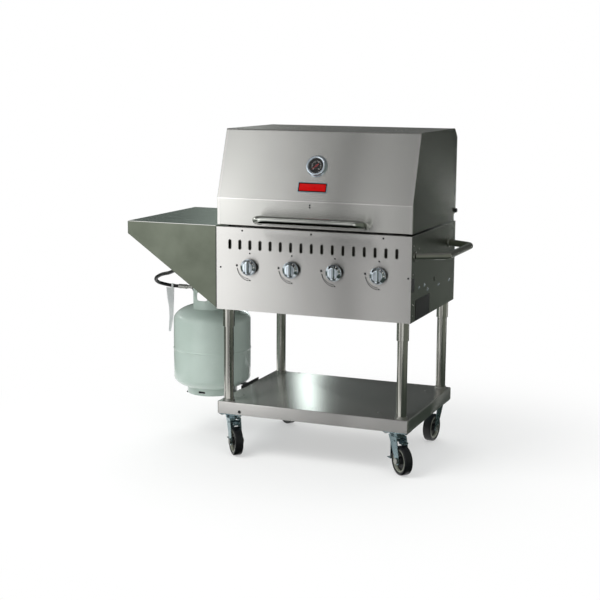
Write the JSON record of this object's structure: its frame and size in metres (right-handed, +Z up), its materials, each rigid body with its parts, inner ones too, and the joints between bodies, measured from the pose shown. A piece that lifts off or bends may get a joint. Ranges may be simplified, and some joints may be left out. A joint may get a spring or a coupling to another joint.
{
  "type": "gas barbecue grill",
  "caption": "Four-burner stainless gas barbecue grill on a caster cart, with a hinged hood, a side shelf and a hung gas cylinder.",
  "frame": {"origin": "on the floor under the middle of the firebox", "axes": "+X to the right as the user faces the control panel, +Y to the back, +Z up"},
  "size_m": [1.2714, 0.6568, 1.235],
  "materials": {
    "brushed_stainless": "brushed, satin",
    "panel_stainless": "brushed, satin",
    "dark_stainless": "brushed, satin",
    "liner_steel": "mill finish",
    "burner_steel": "mill finish",
    "grate_iron": "matt enamel",
    "zinc_plate": "bright zinc plate",
    "caster_rubber": "moulded",
    "knob_chrome": "polished chrome plate",
    "handle_steel": "polished tube",
    "gauge_chrome": "polished chrome plate",
    "needle_red": "gloss paint",
    "window_glass": "clear",
    "badge_red": "gloss enamel",
    "black_bolt": "satin",
    "black_plate": "satin",
    "bracket_black": "satin powder coat",
    "cylinder_paint": "gloss paint",
    "brass": "machined",
    "black_plastic": "moulded",
    "regulator_alloy": "die cast",
    "hose_rubber": "smooth",
    "tag_film": "plain",
    "pipe_black": "black pipe"
  },
  "bodies": {
    "cart": {"lower_shelf": "brushed_stainless", "shelf_stiffeners": "dark_stainless", "legs": "brushed_stainless", "leg_sockets": "brushed_stainless", "caster_plates": "zinc_plate", "caster_bolts": "zinc_plate", "control_panel": "panel_stainless", "side_panel_left": "dark_stainless", "side_panel_right": "dark_stainless", "back_panel": "dark_stainless", "firebox_liner": "liner_steel", "tray_rails": "liner_steel", "burners": "burner_steel", "heat_plates": "burner_steel", "cooking_grates": "grate_iron", "gas_manifold": "pipe_black", "gas_valves": "brass", "panel_screws": "black_bolt", "side_handle": "handle_steel", "side_shelf": "brushed_stainless", "shelf_gussets": "dark_stainless", "data_plate": "black_plate", "tank_bracket": "bracket_black", "hinge_pins": "black_bolt", "gas_cylinder": "cylinder_paint", "cylinder_valve": "brass", "regulator": "regulator_alloy", "gas_hose": "hose_rubber", "hose_tag": "tag_film"},
    "hood": {"hood_shell": "panel_stainless", "hood_ends": "dark_stainless", "hood_handle": "handle_steel", "gauge_case": "gauge_chrome", "gauge_lens": "window_glass", "badge_plate": "badge_red"},
    "needle": {"gauge_needle": "needle_red"},
    "stem_1": {"valve_stem_1": "burner_steel"},
    "knob_1": {"knob_1": "knob_chrome"},
    "stem_2": {"valve_stem_2": "burner_steel"},
    "knob_2": {"knob_2": "knob_chrome"},
    "stem_3": {"valve_stem_3": "burner_steel"},
    "knob_3": {"knob_3": "knob_chrome"},
    "stem_4": {"valve_stem_4": "burner_steel"},
    "knob_4": {"knob_4": "knob_chrome"},
    "tray": {"drip_tray": "liner_steel"},
    "fork_fl": {"caster_fork_fl": "zinc_plate", "caster_axle_fl": "zinc_plate"},
    "wheel_fl": {"caster_wheel_fl": "caster_rubber"},
    "fork_fr": {"caster_fork_fr": "zinc_plate", "caster_axle_fr": "zinc_plate"},
    "wheel_fr": {"caster_wheel_fr": "caster_rubber"},
    "fork_rl": {"caster_fork_rl": "zinc_plate", "caster_axle_rl": "zinc_plate"},
    "wheel_rl": {"caster_wheel_rl": "caster_rubber"},
    "fork_rr": {"caster_fork_rr": "zinc_plate", "caster_axle_rr": "zinc_plate"},
    "wheel_rr": {"caster_wheel_rr": "caster_rubber"},
    "brake_fl": {"caster_brake_fl": "zinc_plate"},
    "brake_fr": {"caster_brake_fr": "zinc_plate"},
    "handwheel": {"cylinder_handwheel": "black_plastic"}
  },
  "joints": [
    {"name": "hood_hinge", "type": "hinge", "parent": "cart", "child": "hood", "pos_m": [0, 0.276, 0.917], "axis": [-1, 0, 0], "range_deg": [0, 95]},
    {"name": "gauge_turn", "type": "hinge", "parent": "hood", "child": "needle", "pos_m": [0, -0.23717, 1.108], "axis": [0, 0.9445, -0.3285], "range_deg": [0, 260]},
    {"name": "knob_1_push", "type": "slide", "parent": "cart", "child": "stem_1", "axis": [0, 1, 0], "range_m": [0, 0.003], "stiffness_N_per_m": 500, "springref_m": -0.004},
    {"name": "knob_1_turn", "type": "hinge", "parent": "stem_1", "child": "knob_1", "pos_m": [-0.24475, -0.307, 0.73], "axis": [0, -1, 0], "range_deg": [0, 180]},
    {"name": "knob_2_push", "type": "slide", "parent": "cart", "child": "stem_2", "axis": [0, 1, 0], "range_m": [0, 0.003], "stiffness_N_per_m": 500, "springref_m": -0.004},
    {"name": "knob_2_turn", "type": "hinge", "parent": "stem_2", "child": "knob_2", "pos_m": [-0.07625, -0.307, 0.73], "axis": [0, -1, 0], "range_deg": [0, 180]},
    {"name": "knob_3_push", "type": "slide", "parent": "cart", "child": "stem_3", "axis": [0, 1, 0], "range_m": [0, 0.003], "stiffness_N_per_m": 500, "springref_m": -0.004},
    {"name": "knob_3_turn", "type": "hinge", "parent": "stem_3", "child": "knob_3", "pos_m": [0.09225, -0.307, 0.73], "axis": [0, -1, 0], "range_deg": [0, 180]},
    {"name": "knob_4_push", "type": "slide", "parent": "cart", "child": "stem_4", "axis": [0, 1, 0], "range_m": [0, 0.003], "stiffness_N_per_m": 500, "springref_m": -0.004},
    {"name": "knob_4_turn", "type": "hinge", "parent": "stem_4", "child": "knob_4", "pos_m": [0.26075, -0.307, 0.73], "axis": [0, -1, 0], "range_deg": [0, 180]},
    {"name": "tray_slide", "type": "slide", "parent": "cart", "child": "tray", "axis": [0, 1, 0], "range_m": [0, 0.45]},
    {"name": "swivel_fl", "type": "hinge", "parent": "cart", "child": "fork_fl", "pos_m": [-0.33, -0.25, 0.154], "axis": [0, 0, 1], "continuous": true},
    {"name": "roll_fl", "type": "hinge", "parent": "fork_fl", "child": "wheel_fl", "pos_m": [-0.30557, -0.27911, 0.054], "axis": [0.766, 0.6428, 0], "continuous": true},
    {"name": "brake_fl", "type": "hinge", "parent": "fork_fl", "child": "brake_fl", "pos_m": [-0.321, -0.26072, 0.124], "axis": [0.766, 0.6428, 0], "range_deg": [0, 10]},
    {"name": "swivel_fr", "type": "hinge", "parent": "cart", "child": "fork_fr", "pos_m": [0.33, -0.25, 0.154], "axis": [0, 0, 1], "continuous": true},
    {"name": "roll_fr", "type": "hinge", "parent": "fork_fr", "child": "wheel_fr", "pos_m": [0.35779, -0.27592, 0.054], "axis": [0.682, 0.7314, 0], "continuous": true},
    {"name": "brake_fr", "type": "hinge", "parent": "fork_fr", "child": "brake_fr", "pos_m": [0.34024, -0.25955, 0.124], "axis": [0.682, 0.7314, 0], "range_deg": [0, 10]},
    {"name": "swivel_rl", "type": "hinge", "parent": "cart", "child": "fork_rl", "pos_m": [-0.33, 0.25, 0.154], "axis": [0, 0, 1], "continuous": true},
    {"name": "roll_rl", "type": "hinge", "parent": "fork_rl", "child": "wheel_rl", "pos_m": [-0.29887, 0.2282, 0.054], "axis": [0.5736, 0.8192, 0], "continuous": true},
    {"name": "swivel_rr", "type": "hinge", "parent": "cart", "child": "fork_rr", "pos_m": [0.33, 0.25, 0.154], "axis": [0, 0, 1], "continuous": true},
    {"name": "roll_rr", "type": "hinge", "parent": "fork_rr", "child": "wheel_rr", "pos_m": [0.32537, 0.21228, 0.054], "axis": [0.9925, -0.1219, 0], "continuous": true},
    {"name": "handwheel_turn", "type": "hinge", "parent": "cart", "child": "handwheel", "pos_m": [-0.55, 0.024, 0.596], "axis": [0, 0, 1], "range_deg": [0, 630]}
  ]
}
